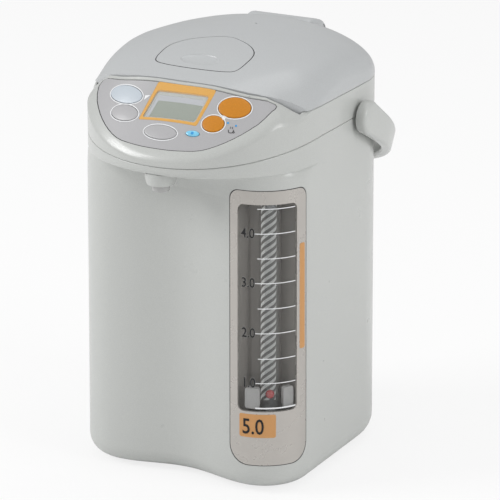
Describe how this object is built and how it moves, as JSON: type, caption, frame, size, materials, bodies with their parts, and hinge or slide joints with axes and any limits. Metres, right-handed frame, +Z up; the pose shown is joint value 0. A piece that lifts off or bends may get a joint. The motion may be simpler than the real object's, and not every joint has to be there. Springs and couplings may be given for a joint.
{
  "type": "electric thermo pot",
  "caption": "Electric thermo pot: rounded body with a spout beak, sloped control deck, wrap-round water gauge, hinged lid and carrying bail, on a swivel base.",
  "frame": {"origin": "on the table, on the axis of the swivel base", "axes": "+Z up, the spout looks along -Y, +X to the side with the gauge"},
  "size_m": [0.215, 0.2727, 0.343],
  "materials": {
    "pearl_plastic": "pearl satin",
    "lid_plastic": "pearl satin",
    "panel_film": "satin film",
    "orange_plastic": "gloss",
    "pale_blue_plastic": "gloss",
    "blue_lens": "clear lens",
    "amber_plastic": "satin print",
    "display_glass": "clear",
    "champagne_plastic": "metallic satin",
    "smoke_window": "clear",
    "white_plastic": "matt",
    "clear_plastic": "clear",
    "red_plastic": "gloss",
    "grey_plastic": "matt",
    "dark_plastic": "matt",
    "steel": "brushed",
    "rubber": "matt",
    "circuit_board": "solder mask"
  },
  "bodies": {
    "base": {"swivel_base": "dark_plastic", "swivel_foot_ring": "rubber", "swivel_screw": "steel"},
    "lid": {"lid_shell": "lid_plastic", "hinge_cover": "lid_plastic", "lid_inner_cover": "white_plastic", "inner_lid": "steel", "inner_lid_gasket": "rubber", "steam_duct": "white_plastic", "lever_pin": "steel"},
    "lever": {"lid_lever": "lid_plastic"},
    "lid_latch": {"latch": "grey_plastic"},
    "bail": {"bail_handle": "pearl_plastic"},
    "boil_button": {"key_boil": "pale_blue_plastic"},
    "timer_button": {"key_timer": "panel_film"},
    "keep_warm_button": {"key_keep_warm": "panel_film"},
    "unlock_button": {"key_unlock": "orange_plastic"},
    "dispense_button": {"key_dispense": "orange_plastic"},
    "float": {"float_ball": "red_plastic"},
    "pump_wheel": {"impeller": "white_plastic"},
    "pot": {"body_shell": "pearl_plastic", "collar": "pearl_plastic", "bottom_plate": "dark_plastic", "bottom_screw_1": "steel", "bottom_screw_2": "steel", "bottom_screw_3": "steel", "bottom_screw_4": "steel", "inlet_socket": "dark_plastic", "handle_pin_left": "steel", "handle_pin_right": "steel", "hinge_block": "grey_plastic", "hinge_pin": "steel", "inner_container": "steel", "container_gasket": "rubber", "heater_plate": "steel", "temperature_sensor": "white_plastic", "pump_housing": "white_plastic", "pump_motor": "steel", "inlet_hose": "clear_plastic", "delivery_hose": "clear_plastic", "spout_hose": "clear_plastic", "tilt_valve": "white_plastic", "spout_cover": "pearl_plastic", "spout_nozzle": "grey_plastic", "power_board": "circuit_board", "control_panel": "panel_film", "display_frame": "amber_plastic", "display_window": "display_glass", "display_module": "dark_plastic", "control_board": "circuit_board", "refill_lamp": "blue_lens", "gauge_panel": "champagne_plastic", "gauge_window": "smoke_window", "gauge_tray": "dark_plastic", "gauge_backplate": "white_plastic", "gauge_tube": "clear_plastic", "gauge_fitting_low": "grey_plastic", "gauge_fitting_high": "grey_plastic", "gauge_bracket_left": "grey_plastic", "gauge_bracket_right": "grey_plastic"}
  },
  "joints": [
    {"name": "swivel", "type": "hinge", "parent": "base", "child": "pot", "pos_m": [0, 0, 0], "axis": [0, 0, 1], "continuous": true},
    {"name": "lid_hinge", "type": "hinge", "parent": "pot", "child": "lid", "pos_m": [0, 0.091, 0.329], "axis": [-1, 0, 0], "range_deg": [0, 85]},
    {"name": "lever_pivot", "type": "hinge", "parent": "lid", "child": "lever", "pos_m": [0, -0.042, 0.33046], "axis": [1, 0, 0], "range_deg": [0, 10], "stiffness_Nm_per_rad": 0.6, "springref_deg": -8.59},
    {"name": "latch_slide", "type": "slide", "parent": "lid", "child": "lid_latch", "axis": [0, 1, 0], "range_m": [0, 0.004]},
    {"name": "bail_hinge", "type": "hinge", "parent": "pot", "child": "bail", "pos_m": [0, 0.022, 0.281], "axis": [1, 0, 0], "range_deg": [0, 121]},
    {"name": "boil_press", "type": "slide", "parent": "pot", "child": "boil_button", "axis": [0.1602, 0.7179, -0.6775], "range_m": [0, 0.0008], "stiffness_N_per_m": 800, "springref_m": -0.0006},
    {"name": "timer_press", "type": "slide", "parent": "pot", "child": "timer_button", "axis": [0.129, 0.7108, -0.6914], "range_m": [0, 0.0008], "stiffness_N_per_m": 800, "springref_m": -0.0006},
    {"name": "keep_warm_press", "type": "slide", "parent": "pot", "child": "keep_warm_button", "axis": [0.0028, 0.7071, -0.7071], "range_m": [0, 0.0008], "stiffness_N_per_m": 800, "springref_m": -0.0006},
    {"name": "unlock_press", "type": "slide", "parent": "pot", "child": "unlock_button", "axis": [-0.1254, 0.712, -0.6909], "range_m": [0, 0.0008], "stiffness_N_per_m": 800, "springref_m": -0.0006},
    {"name": "dispense_press", "type": "slide", "parent": "pot", "child": "dispense_button", "axis": [-0.2001, 0.7118, -0.6733], "range_m": [0, 0.0008], "stiffness_N_per_m": 800, "springref_m": -0.0006},
    {"name": "float_rise", "type": "slide", "parent": "pot", "child": "float", "axis": [0, 0, 1], "range_m": [0, 0.148]},
    {"name": "impeller_spin", "type": "hinge", "parent": "pot", "child": "pump_wheel", "pos_m": [0.024, -0.042, 0.027], "axis": [0, 0, 1], "continuous": true}
  ],
  "couplings": [
    {"joint": "latch_slide", "follows": "lever_pivot", "m_per_rad": 0.0229}
  ]
}
